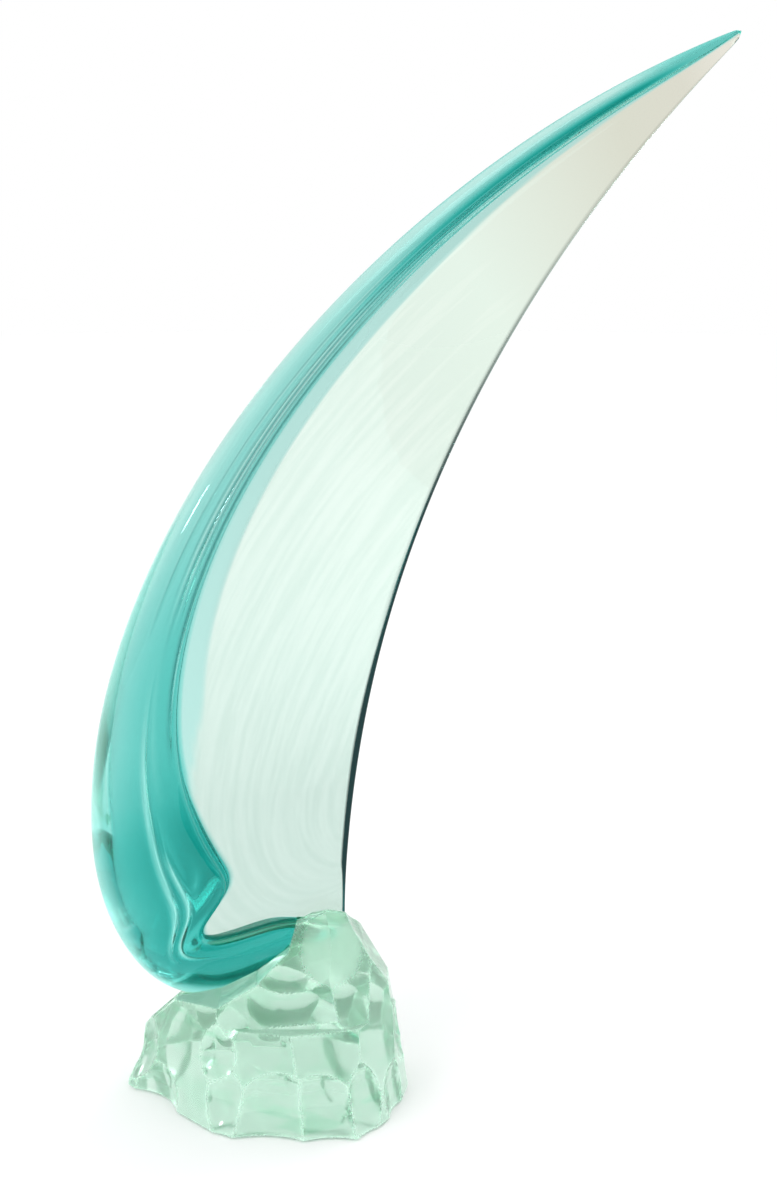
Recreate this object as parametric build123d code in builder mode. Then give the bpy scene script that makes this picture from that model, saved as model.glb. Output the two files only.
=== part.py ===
"""Glass wave sculpture: a hot-worked glass wave glued into a chiselled block of glass.

Millimetres, +Z up. The viewer stands at -Y with +X to the right, and the object stands on z = 0.
Sizes are given from the axis of the rock; MIDDLE_X then moves everything so that the origin lies
on the table, under the middle of the overall width.
"""

import math
import os

from build123d import *

# Outline of the wave, seen from the front
TOE_X, TOE_Z = 47.0, 98.0
KEEL_X, KEEL_Z = -38.0, 61.3
BELLY_X, BELLY_Z = -98.5, 165.0
TIP_X, TIP_Z = 266.0, 614.5
TOE_PULL, TOE_SLOPE = 18.0, 20.0
KEEL_PULL = 26.0
BELLY_PULL_DOWN, BELLY_PULL_UP = 69.0, 170.5
CREST_PULL, CREST_SLOPE = 215.0, 19.8
EDGE_PULL_UP = 270.0
EDGE_PULL_TIP, EDGE_SLOPE = 112.0, 44.5
TIP_LEAN = 18.0
TIP_BLUNT = 6.6

# Sections across the wave: width of the rim, its bulge to the front and to the back
RIM_WIDTH, RIM_FRONT, RIM_BACK = 24.0, 12.0, 16.0
HEEL_FRONT, HEEL_BACK = 22.0, 42.0
TOE_FRONT, TOE_BACK = 8.0, 8.0
SHEET_ROOT, SHEET_EDGE = 6.0, 3.5
EDGE_FORWARD = 12.0
SWELL_SPAN = 1.6

# Width of the rim round the foot, as shares of the section's length and of the way round
FOOT_WIDTH, FOOT_NARROWING = 0.82, 0.42
TOE_NARROWING, TOE_SPREAD = 0.25, 0.1
NOTCH_AT, NOTCH_SPREAD, NOTCH_DEPTH = 0.57, 0.09, 0.28
RIM_SLIMMING, POCKET_FADING = 5, 6
TIP_SHARPNESS = 40
TOE_CREST, HEEL_CREST, RIM_CREST = 0.85, 0.6, 0.6
BROW_AT, BROW_DROP = 0.98, 0.75
BACK_CREST, BACK_BROW_AT = 0.55, 0.85
SHEET_SET = 0.3
BROW_EASE, BROW_HANG, WALL_EASE, VALLEY_EASE = 0.7, 0.8, 0.7, 0.9
QUARTER = 0.5523

# Spacing of the sections, as shares of the way round
TOE_START = 0.07
FOOT_STEPS = (0.18, 0.3, 0.42, 0.54, 0.66, 0.78, 0.9)
SAIL_STEPS = (0.0, 0.08, 0.17, 0.28, 0.4, 0.53, 0.66, 0.78, 0.88, 0.95, 0.986)
WAIST = 0.167
FAN = 1.45

# Rock and what lies under it
BUMPER_HEIGHT, BUMPER_RADIUS, BUMPER_ROUND = 1.5, 6.0, 0.6
BUMPER_REACH = 48.0
ROCK_RADIUS = 80.0
RIDGE_Z = 58.0
SHOULDER_Z = 30.0
SEAT_FRONT, SEAT_BACK = 44.0, 46.0
HEEL_FOOT_RUN, HEEL_FOOT_DROP = 42.0, 31.3
HEEL_LIP_RUN, HEEL_LIP_RISE = 13.0, 1.0
SINK_KEEL, SINK_MIDDLE, SINK_TOE = 5.0, 8.5, 14.0
LOBE_RADIUS = 30.0
FLAKE_DEPTH = 4.0
BOND = 0.8
TOE_SEAT, WAVE_FIT = 4.6, 0.3

# Chisel faces: azimuth, reach from the axis as a share of the rock's radius, lean
FLANKS = (
    (190, 1.0, 5), (222, 0.74, 12), (258, 0.84, 18), (284, 0.99, 22), (331, 1.06, 14), (350, 1.04, 7),
    (20, 1.05, 9), (57, 1.0, 14), (92, 0.93, 16), (128, 0.91, 14), (161, 0.98, 8),
)
SHOULDERS = (
    (187, 0.99, 46), (214, 0.75, 40), (38, 1.0, 36), (75, 0.93, 42), (110, 0.9, 38), (148, 0.93, 44),
)
SEAT_FACES = (
    (268, 0.55, 20), (232, 0.7, 30), (306, 0.8, 24), (50, 0.95, 30), (88, 0.55, 30), (88, 0.93, 55),
    (118, 0.75, 36), (150, 0.55, 45),
)
BLANK = 1.4

# Outline of the lobe round the toe: points from the toe, as shares of its radius
LOBE = ((-0.9, 0.4), (-0.3, 0.7), (0.07, 0.6), (0.37, 0.0), (0.87, -0.87), (1.1, -2.27))

# Flakes struck off the flanks: azimuth, height as a share of the ridge's, radius as a share of the rock's
FLAKES = (
    (247, 0.52, 0.58), (271, 0.45, 0.65), (293, 0.48, 0.55), (318, 0.52, 0.62), (340, 0.31, 0.5),
    (358, 0.72, 0.45), (12, 0.28, 0.52), (36, 0.66, 0.58), (60, 0.28, 0.55), (84, 0.69, 0.6),
    (108, 0.28, 0.55), (136, 0.66, 0.58), (160, 0.28, 0.5), (184, 0.59, 0.42), (204, 0.17, 0.45),
    (239, 0.86, 0.42),
)
FACING = 0.3
SCOOP_X, SCOOP_Y, SCOOP_Z, SCOOP_RADIUS = 14.0, -90.0, 132.0, 76.0

MIDDLE_X = (TIP_X - TIP_BLUNT + BELLY_X) / 2


def at(x, z, y=0.0):
    """Point given from the axis of the rock, moved to the part's own origin."""
    return Vector(x - MIDDLE_X, y, z)


def pull(length, slope):
    """Handle of a curve in the plane of the outline, with its slope in degrees."""
    return Vector(length * math.cos(math.radians(slope)), 0, length * math.sin(math.radians(slope)))


def mix(low, high, share):
    """Sizes part of the way from low to high."""
    return tuple(a + (b - a) * share for a, b in zip(low, high))


toe, keel = at(TOE_X, TOE_Z), at(KEEL_X, KEEL_Z)
belly, tip = at(BELLY_X, BELLY_Z), at(TIP_X, TIP_Z)

with BuildLine() as outline:
    keel_line = Bezier(toe, toe - pull(TOE_PULL, TOE_SLOPE), keel + pull(KEEL_PULL, 0), keel)
    heel_line = Bezier(keel, keel - pull(KEEL_PULL, 0), belly - pull(BELLY_PULL_DOWN, 90), belly)
    crest_line = Bezier(belly, belly + pull(BELLY_PULL_UP, 90), tip - pull(CREST_PULL, CREST_SLOPE), tip)
    free_edge = Bezier(toe, toe + pull(EDGE_PULL_UP, 90), tip - pull(EDGE_PULL_TIP, EDGE_SLOPE), tip)


def bell(value, middle, spread):
    """Bell-shaped share: 1 in the middle, fading out with the spread."""
    return math.exp(-(((value - middle) / spread) ** 2))


def foot_sizes(step, length):
    """Width, bulges and crest of the rim round the foot, with the notch where it leaves the keel."""
    swell = math.sin(math.pi * step / SWELL_SPAN)
    notch = NOTCH_DEPTH * bell(step, NOTCH_AT, NOTCH_SPREAD) + TOE_NARROWING * bell(step, 0, TOE_SPREAD)
    width = length * (FOOT_WIDTH - FOOT_NARROWING * step - notch)
    front = TOE_FRONT + (HEEL_FRONT - TOE_FRONT) * swell**2
    back = TOE_BACK + (HEEL_BACK - TOE_BACK) * swell**2
    crest = TOE_CREST + (HEEL_CREST - TOE_CREST) * swell**2
    return width, front, back, crest


def edge_forward(along):
    """How far the free edge stands in front of the outline's plane, from the toe (0) to the tip (1)."""
    return EDGE_FORWARD * math.sin(math.pi * along)


def draw_section(outer, inner, sizes, forward, taper, grow):
    """Section of the wave: a thick rim at the outer point and a thin sheet to the inner point."""
    width, front, back, crest_at = sizes
    chord = inner - outer
    root, edge = SHEET_ROOT * taper / 2 + grow, SHEET_EDGE * taper / 2 + grow
    seat = -front * SHEET_SET
    span = chord.length - width
    slope = Vector(span, -2 * (seat + forward)).normalized()
    across = Vector(-slope.Y, slope.X)
    end = Vector(chord.length, -forward) + slope * grow
    nose = Vector(-grow, 0)
    crest, back_crest = Vector(crest_at * width, -front - grow), Vector(BACK_CREST * width, back + grow)
    brow = Vector(BROW_AT * width + grow, -front * BROW_DROP - grow)
    back_brow = Vector(BACK_BROW_AT * width + grow, back * BROW_DROP + grow)
    valley, spine = Vector(width + grow, seat - root), Vector(width + grow, seat + root)
    end_front, end_back = end - across * edge, end + across * edge
    nose_run, back_nose_run = ((point.X - nose.X) * QUARTER for point in (crest, back_crest))
    brow_run, back_run = ((b.X - a.X) * BROW_EASE for a, b in ((crest, brow), (back_crest, back_brow)))
    ledge, back_ledge = ((valley.X - point.X) * VALLEY_EASE for point in (brow, back_brow))
    front_hang, back_hang = ((a.Y - b.Y) * BROW_HANG for a, b in ((crest, brow), (back_crest, back_brow)))
    front_wall, back_wall = ((a.Y - b.Y) * WALL_EASE for a, b in ((valley, brow), (spine, back_brow)))
    run = Vector(span / 3, 0)
    fall = slope * (span / 3 / slope.X)
    sides = (
        (nose, nose + (0, crest.Y * QUARTER), crest - (nose_run, 0), crest),
        (crest, crest + (brow_run, 0), brow + (0, front_hang), brow),
        (brow, brow + (0, front_wall), valley - (ledge, 0), valley),
        (valley, valley + run, end_front - fall, end_front),
        (end_front, end_front + slope * edge, end_back + slope * edge, end_back),
        (end_back, end_back - fall, spine + run, spine),
        (spine, spine - (back_ledge, 0), back_brow + (0, back_wall), back_brow),
        (back_brow, back_brow + (0, back_hang), back_crest + (back_run, 0), back_crest),
        (back_crest, back_crest - (back_nose_run, 0), nose + (0, back_crest.Y * QUARTER), nose),
    )
    plane = Plane(outer, x_dir=chord, z_dir=chord.cross(Vector(0, 1, 0)))
    return make_face([Bezier(*(plane.from_local_coords(point) for point in side)) for side in sides])


def foot_section(step, grow):
    """Section of the foot, from the toe (0) round the keel to the belly (1)."""
    along = step * (keel_line.length + heel_line.length)
    if along < keel_line.length:
        outer = keel_line @ (along / keel_line.length)
    else:
        outer = heel_line @ ((along - keel_line.length) / heel_line.length)
    inner = free_edge @ (WAIST * step)
    sizes = foot_sizes(step, (inner - outer).length)
    return draw_section(outer, inner, sizes, edge_forward(WAIST * step), 1.0, grow)


def sail_section(step, grow):
    """Section of the sail, from the belly (0) to the tip (1)."""
    lean = Vector(0, -TIP_LEAN * step**2, 0)
    along = WAIST + (1 - WAIST) * step**FAN
    taper = math.sqrt(1 - step**2) * (1 - step**TIP_SHARPNESS)
    slender = (RIM_WIDTH * taper, RIM_FRONT * taper, RIM_BACK * taper, RIM_CREST)
    heel = foot_sizes(1.0, (free_edge @ WAIST - belly).length)
    sizes = mix(slender, heel, (1 - step) ** RIM_SLIMMING)
    outer, inner = crest_line @ step + lean, free_edge @ along + lean
    return draw_section(outer, inner, sizes, edge_forward(along), taper, grow)


def wave_sections(start, grow=0.0):
    """Sections from the toe to the tip; the grown ones keep the wave's size again at the tip."""
    foot = [foot_section(step, grow) for step in (start,) + FOOT_STEPS]
    return foot + [sail_section(step, grow * (1 - step) ** POCKET_FADING) for step in SAIL_STEPS]


def chisel_face(azimuth, reach, lean, height):
    """Plane of a face of the rock: it faces outwards at the azimuth and leans back as it rises."""
    turn, tilt = math.radians(azimuth), math.radians(lean)
    out = Vector(math.cos(turn), math.sin(turn), 0)
    return Plane(at(0, height) + out * reach, z_dir=out * math.cos(tilt) + Vector(0, 0, math.sin(tilt)))


def flank_reach(azimuth, height):
    """Distance from the axis of the rock to its flanks, at an azimuth and a height."""
    reaches = []
    for face_azimuth, reach, lean in FLANKS:
        facing = math.cos(math.radians(azimuth - face_azimuth))
        if facing > FACING:
            away = ROCK_RADIUS * reach - (height - BUMPER_HEIGHT) * math.tan(math.radians(lean))
            reaches.append(away / facing)
    return min(reaches)


def seat_top(share, sink):
    """Point of the seat's outline that stands above the keel, so that the foot sinks into the seat."""
    point = keel_line @ share
    return point.X + MIDDLE_X, point.Z + sink


foot_length = keel_line.length + heel_line.length
wave_faces = wave_sections(TOE_START)
with BuildPart() as wave:
    loft(wave_faces)

pocket_faces = wave_sections(TOE_START + TOE_SEAT / foot_length, BOND)
with BuildPart() as pocket:
    loft(pocket_faces)

socket_faces = wave_sections(TOE_START - WAVE_FIT / foot_length, WAVE_FIT)
with BuildPart() as socket:
    loft(socket_faces)

with BuildPart() as plinth:
    with BuildSketch(Plane(at(0, BUMPER_HEIGHT))):
        Circle(BLANK * ROCK_RADIUS)
    extrude(amount=RIDGE_Z - BUMPER_HEIGHT)
    for azimuth, reach, lean in SHOULDERS:
        split(bisect_by=chisel_face(azimuth, ROCK_RADIUS * reach, lean, SHOULDER_Z), keep=Keep.BOTTOM)

with BuildPart() as block:
    with BuildSketch(Plane(at(0, 0, SEAT_BACK), x_dir=(1, 0, 0), z_dir=(0, -1, 0))):
        with BuildLine():
            lobe = [(TOE_X + LOBE_RADIUS * right, TOE_Z + LOBE_RADIUS * up) for right, up in LOBE]
            Polyline(
                (KEEL_X - HEEL_FOOT_RUN, KEEL_Z - HEEL_FOOT_DROP),
                (KEEL_X - HEEL_LIP_RUN, KEEL_Z + HEEL_LIP_RISE),
                seat_top(0.85, SINK_KEEL),
                seat_top(0.6, SINK_MIDDLE),
                seat_top(0.38, SINK_TOE),
                *lobe,
                close=True,
            )
        make_face()
    extrude(amount=SEAT_FRONT + SEAT_BACK)
    for azimuth, reach, lean in SEAT_FACES:
        split(bisect_by=chisel_face(azimuth, ROCK_RADIUS * reach, lean, RIDGE_Z), keep=Keep.BOTTOM)
    add(plinth.part)
    for azimuth, reach, lean in FLANKS:
        split(bisect_by=chisel_face(azimuth, ROCK_RADIUS * reach, lean, BUMPER_HEIGHT), keep=Keep.BOTTOM)
    with Locations(at(SCOOP_X, SCOOP_Z, SCOOP_Y)):
        Sphere(SCOOP_RADIUS, mode=Mode.SUBTRACT)
    for azimuth, rise, size in FLAKES:
        height, radius = RIDGE_Z * rise, ROCK_RADIUS * size
        away = flank_reach(azimuth, height) + radius - FLAKE_DEPTH
        with Locations(chisel_face(azimuth, away, 0, height).origin):
            Sphere(radius, mode=Mode.SUBTRACT)

with BuildPart() as rock:
    add(block.part)
    add(pocket.part, mode=Mode.SUBTRACT)
    add(socket.part, mode=Mode.SUBTRACT)

with BuildPart() as bond:
    add(block.part)
    add(pocket.part, mode=Mode.INTERSECT)
    add(socket.part, mode=Mode.SUBTRACT)

wave.part.label = "glass_wave"
rock.part.label = "rock_base"
bond.part.label = "bond_bed"
pieces = [wave.part, rock.part, bond.part]

for name, azimuth in (("back_right", 45), ("back_left", 135), ("front_left", 225), ("front_right", 315)):
    with BuildPart() as bumper:
        spot = chisel_face(azimuth, BUMPER_REACH, 0, 0).origin
        with BuildSketch(Plane(spot)):
            Circle(BUMPER_RADIUS)
        extrude(amount=BUMPER_HEIGHT)
        fillet(bumper.edges().group_by(Axis.Z)[0], BUMPER_ROUND)
    bumper.part.label = f"bumper_{name}"
    pieces.append(bumper.part)

os.makedirs("parts", exist_ok=True)
for piece in pieces:
    export_step(piece, f"parts/{piece.label}.step")
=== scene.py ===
import logging
import math
import random
from bisect import bisect_right
from dataclasses import dataclass, field
from enum import Enum, IntEnum
from typing import Any, Sequence

import bmesh
import bpy
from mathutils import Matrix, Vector
from mathutils.bvhtree import BVHTree
from mathutils.geometry import interpolate_bezier


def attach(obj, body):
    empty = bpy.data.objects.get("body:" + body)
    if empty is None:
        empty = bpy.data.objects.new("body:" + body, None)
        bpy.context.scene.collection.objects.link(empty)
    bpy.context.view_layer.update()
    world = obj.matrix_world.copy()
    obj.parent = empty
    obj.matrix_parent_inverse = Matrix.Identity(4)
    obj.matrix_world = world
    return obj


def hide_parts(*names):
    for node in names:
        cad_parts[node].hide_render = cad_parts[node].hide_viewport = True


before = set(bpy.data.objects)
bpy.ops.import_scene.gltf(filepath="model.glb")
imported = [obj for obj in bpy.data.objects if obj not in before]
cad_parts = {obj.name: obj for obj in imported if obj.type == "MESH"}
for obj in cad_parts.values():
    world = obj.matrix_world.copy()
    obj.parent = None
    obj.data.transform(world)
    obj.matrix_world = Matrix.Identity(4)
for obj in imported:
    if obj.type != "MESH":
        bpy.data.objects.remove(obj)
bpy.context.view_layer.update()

log = logging.getLogger("glass_wave")
Colour = tuple[float, float, float]
BLACK: Colour = (0.0, 0.0, 0.0)
WHITE: Colour = (1.0, 1.0, 1.0)
MM = 0.001
BODY = "root"
CORNERS = ("front_left", "front_right", "back_left", "back_right")
GLASS_IOR = 1.5
BOUNCES = 28
QUARTER_ROUND = 0.5523


class Slot(Enum):
    """Material slots of the record; the new pieces here don't take them."""

    WAVE = "wave_glass"
    ROCK = "rock_glass"


class Mark(Enum):
    """Names of the values that the meshes carry for their finishes, painted light and shade among them."""

    SWEEP = "sweep"
    SHEET = "sheet"
    DEPTH = "depth"
    # Painted shade: dark lines along the rim's grooves and wall.
    SHADE_LINE = "line"
    # Painted shade along the free edge.
    EDGE_SHADE = "edge"
    # Painted glow along the rim's outer edge and the folds; it also roughens that edge.
    PAINTED_GLOW = "nose"
    # Frost of the rock, which also carries its painted glow.
    FROST_AND_GLOW = "frost"


PAINTED = (Mark.SHEET, Mark.DEPTH, Mark.SHADE_LINE, Mark.EDGE_SHADE, Mark.PAINTED_GLOW)


class Graph:
    """Small helper that fills a node tree."""

    def __init__(self, tree: bpy.types.NodeTree) -> None:
        """Keeps the tree that gets the nodes."""
        self.tree = tree

    def feed(self, node: bpy.types.Node, inputs: dict[Any, Any]) -> None:
        """Sets or links inputs of a node.

        Args:
            node: node that is fed.
            inputs: value or output socket for each input, by name or number.
        """
        for key, value in inputs.items():
            if isinstance(value, bpy.types.NodeSocket):
                self.tree.links.new(value, node.inputs[key])
            else:
                node.inputs[key].default_value = value

    def add(self, kind: str, inputs: dict[Any, Any] | None = None, **settings: Any) -> bpy.types.Node:
        """Adds a node.

        Args:
            kind: node type, without its "ShaderNode" start.
            inputs: value or output socket for each input, by name or number.
            settings: properties of the node.

        Returns:
            The new node.
        """
        node = self.tree.nodes.new(f"ShaderNode{kind}")
        for name, value in settings.items():
            setattr(node, name, value)
        self.feed(node, inputs or {})
        return node

    def mark(self, mark: Mark) -> bpy.types.NodeSocket:
        """Value that the mesh carries under a mark."""
        return self.add("Attribute", attribute_name=mark.value).outputs["Fac"]

    def math(self, operation: str, first: Any, second: Any = 0.0) -> bpy.types.NodeSocket:
        """Result of a sum on two values or sockets."""
        return self.add("Math", {0: first, 1: second}, operation=operation).outputs[0]

    def noise(self, place: bpy.types.NodeSocket, scale: Any, detail: float) -> bpy.types.NodeSocket:
        """Value of a noise at a place."""
        return self.add("TexNoise", {"Vector": place, "Scale": scale, "Detail": detail}).outputs["Fac"]

    def span(
        self, value: Any, low: float, high: float, start: float = 0.0, stop: float = 1.0
    ) -> bpy.types.NodeSocket:
        """Value carried smoothly from one range to another."""
        inputs = {"Value": value, "From Min": low, "From Max": high, "To Min": start, "To Max": stop}
        return self.add("MapRange", inputs, interpolation_type="SMOOTHSTEP").outputs["Result"]

    def mix(self, share: Any, first: Any, second: Any, blend: str = "MIX") -> bpy.types.NodeSocket:
        """Colour between two colours.

        Args:
            share: how much of the second colour is taken, as a value or a socket.
            first: colour or socket.
            second: colour or socket.
            blend: how the second colour goes over the first one.

        Returns:
            Socket with the mixed colour.
        """
        node = self.add("Mix", {"Factor": share}, data_type="RGBA", blend_type=blend)
        for number, value in ((6, first), (7, second)):
            self.feed(node, {number: value if isinstance(value, bpy.types.NodeSocket) else (*value, 1)})
        return node.outputs[2]


def new_material(name: str) -> tuple[bpy.types.Material, Graph, bpy.types.Node]:
    """Starts a node material.

    Args:
        name: name of the finish.

    Returns:
        The material, its graph and its Principled BSDF.
    """
    material = bpy.data.materials.new(name)
    material.use_nodes = True
    return material, Graph(material.node_tree), material.node_tree.nodes["Principled BSDF"]


def dress(piece: bpy.types.Object, material: bpy.types.Material) -> None:
    """Gives a piece one material all over.

    Args:
        piece: mesh object to dress.
        material: finish that it gets.
    """
    piece.data.materials.clear()
    piece.data.materials.append(material)
    log.info("%s: dressed in %s", piece.name, material.name)


def mesh_piece(name: str, bm: bmesh.types.BMesh) -> bpy.types.Object:
    """Turns a bmesh into an object at the origin and frees the bmesh.

    Args:
        name: plain name of the piece.
        bm: finished geometry, in metres.

    Returns:
        The new object, with smooth faces.
    """
    mesh = bpy.data.meshes.new(name)
    for face in bm.faces:
        face.smooth = True
    bm.to_mesh(mesh)
    bm.free()
    piece = bpy.data.objects.new(name, mesh)
    bpy.context.scene.collection.objects.link(piece)
    return piece


def ripple_group() -> bpy.types.NodeTree:
    """Fine unevenness of a skin, shared by every finish.

    Returns:
        Node group with a Scale and a Strength input and a Normal output.
    """
    tree = bpy.data.node_groups.new("fire_polish", "ShaderNodeTree")
    for name in ("Scale", "Strength"):
        tree.interface.new_socket(name, in_out="INPUT", socket_type="NodeSocketFloat")
    tree.interface.new_socket("Normal", in_out="OUTPUT", socket_type="NodeSocketVector")
    graph = Graph(tree)
    given = tree.nodes.new("NodeGroupInput")
    result = tree.nodes.new("NodeGroupOutput")
    place = graph.add("TexCoord").outputs["Object"]
    height = graph.noise(place, given.outputs["Scale"], 2.0)
    bump = graph.add("Bump", {"Strength": given.outputs["Strength"], "Distance": MM, "Height": height})
    graph.feed(result, {"Normal": bump.outputs["Normal"]})
    return tree


@dataclass(frozen=True)
class Ripple:
    """How uneven a skin is.

    Attributes:
        scale: number of waves in a metre.
        strength: how far they turn the normal.
    """

    scale: float = 40.0
    strength: float = 0.05

    def normal(self, graph: Graph, group: bpy.types.NodeTree) -> bpy.types.NodeSocket:
        """Normal of the skin, from the shared group."""
        inputs = {"Scale": self.scale, "Strength": self.strength}
        return graph.add("Group", inputs, node_tree=group).outputs["Normal"]


@dataclass(frozen=True)
class Depth:
    """Colour that a glass takes from its depth.

    Attributes:
        tint: light that is let through, by colour.
        density: how fast the rest is taken up, per metre.
    """

    tint: Colour
    density: float

    def fill(self, graph: Graph) -> None:
        """Fills the inside of a material with the colour.

        Args:
            graph: graph of the material.
        """
        inputs = {"Color": (*self.tint, 1), "Density": self.density}
        inside = graph.add("VolumeAbsorption", inputs).outputs["Volume"]
        graph.feed(graph.tree.nodes["Material Output"], {"Volume": inside})


@dataclass(frozen=True)
class TealGlass:
    """Glass of the wave: polished, teal where it is deep, mint and streaked in the sheet, with painted shade
    along its free edge and grooves, painted highlight lines along some folds and a painted glow along the
    rim's outer edge.

    Places along the sweep are in tenths of a metre from the toe.

    Attributes:
        depth: colour of the whole piece, from its depth.
        teal: how fast red, green and blue fade with the depth of the teal layer in the rim.
        shade: colour of the rim where that layer is thin.
        sheet: colours of the sheet from the heel up to the tip, each with its share of sheet_length.
        sheet_length: length of the sweep that these shares are taken from.
        streak: colour of the streaks in the sheet.
        streak_scale: how often they repeat across and along the sweep.
        streak_fade: places along the sweep between which they fade away.
        gloss: colour of what the skin mirrors.
        soft: roughness along the outer edge of the rim.
        painted_glow: painted glow, an emission colour along the rim's outer edge and its folds, though the
            glass is no lamp.
        edge: colour of the painted shade along the free edge.
        edge_shade_fade: places along the sweep between which that painted shade fades.
        edge_shade_left: share of that painted shade that is left at the tip.
        line: colour of the painted shade lines along the grooves and the wall of the rim.
        ripple: unevenness of the skin.
    """

    depth: Depth = Depth((0.0, 0.7, 0.67), 3.5)
    teal: Colour = (1.0, 0.225, 0.245)
    shade: Colour = (0.98, 0.88, 0.83)
    sheet: tuple[tuple[float, Colour], ...] = (
        (0.22, (0.6, 0.73, 0.67)),
        (0.36, (0.71, 0.85, 0.78)),
        (0.5, (0.83, 0.96, 0.88)),
        (0.64, (0.85, 0.97, 0.87)),
        (0.75, (0.73, 0.75, 0.64)),
        (0.79, (0.74, 0.74, 0.64)),
        (0.815, (0.83, 0.82, 0.73)),
    )
    sheet_length: float = 10.0
    streak: Colour = (0.92, 0.95, 0.94)
    streak_scale: tuple[float, float, float] = (22.0, 0.9, 1.0)
    streak_fade: tuple[float, float] = (5.0, 7.2)
    gloss: Colour = (0.5, 0.9, 0.9)
    soft: float = 0.22
    painted_glow: Colour = (0.2, 0.26, 0.245)
    edge: Colour = (0.0, 0.012, 0.012)
    edge_shade_fade: tuple[float, float] = (5.0, 8.0)
    edge_shade_left: float = 0.2
    line: Colour = (0.01, 0.13, 0.12)
    ripple: Ripple = Ripple(28.0, 0.12)

    def sheet_tone(
        self, graph: Graph, sweep: bpy.types.NodeSocket, along: bpy.types.NodeSocket
    ) -> bpy.types.NodeSocket:
        """Colour of the sheet, with its streaks.

        Args:
            graph: graph of the material.
            sweep: place across and along the wave.
            along: place along the wave.

        Returns:
            Socket with the colour.
        """
        streaks = graph.add("Mapping", {"Vector": sweep, "Scale": self.streak_scale}).outputs["Vector"]
        inputs = {"Vector": streaks, "Scale": 1.0, "Detail": 4.0, "Roughness": 0.6}
        striae = graph.span(graph.add("TexNoise", inputs).outputs["Fac"], 0.35, 0.65)
        pale = graph.math("MAXIMUM", striae, graph.span(along, *self.streak_fade))
        ramp = graph.add("ValToRGB", {"Fac": graph.math("DIVIDE", along, self.sheet_length)})
        stops = ramp.color_ramp.elements
        stops.remove(stops[1])
        for i, (place, colour) in enumerate(self.sheet):
            stop = stops.new(place) if i else stops[0]
            stop.position = place
            stop.color = (*colour, 1)
        tone = ramp.outputs["Color"]
        return graph.mix(pale, graph.mix(1.0, tone, self.streak, "MULTIPLY"), tone)

    def rim_tone(self, graph: Graph) -> bpy.types.NodeSocket:
        """Colour of the rim, from the depth of its teal layer.

        Args:
            graph: graph of the material.

        Returns:
            Socket with the colour.
        """
        depth = graph.mark(Mark.DEPTH)
        fade = [graph.math("POWER", math.exp(-rate), depth) for rate in self.teal]
        rim = graph.add("CombineColor", dict(enumerate(fade))).outputs["Color"]
        return graph.mix(1.0, rim, self.shade, "MULTIPLY")

    def build(self, ripples: bpy.types.NodeTree) -> bpy.types.Material:
        """Makes the material.

        Args:
            ripples: shared group for the unevenness of the skin.

        Returns:
            The finished material.
        """
        material, graph, shader = new_material("teal_glass")
        self.depth.fill(graph)
        sweep = graph.add("UVMap", uv_map=Mark.SWEEP.value).outputs["UV"]
        along = graph.add("SeparateXYZ", {"Vector": sweep}).outputs["Y"]
        tone = self.sheet_tone(graph, sweep, along)
        tone = graph.mix(graph.mark(Mark.SHEET), self.rim_tone(graph), tone)
        # Painted shade along the free edge, fading towards the tip.
        lower = graph.span(along, *self.edge_shade_fade, 1.0, self.edge_shade_left)
        tone = graph.mix(graph.math("MULTIPLY", graph.mark(Mark.EDGE_SHADE), lower), tone, self.edge)
        nose = graph.mark(Mark.PAINTED_GLOW)
        inputs = {
            # Painted shade lines along the rim's grooves and wall.
            "Base Color": graph.mix(graph.mark(Mark.SHADE_LINE), tone, self.line),
            "Roughness": graph.math("MULTIPLY", nose, self.soft),
            "IOR": GLASS_IOR,
            "Transmission Weight": 1.0,
            "Specular Tint": (*self.gloss, 1),
            # Painted glow: emission along the rim's outer edge and the folds, though the glass is no lamp.
            "Emission Color": graph.mix(nose, BLACK, self.painted_glow),
            "Emission Strength": 1.0,
            "Normal": self.ripple.normal(graph, ripples),
        }
        graph.feed(shader, inputs)
        return material


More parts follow.
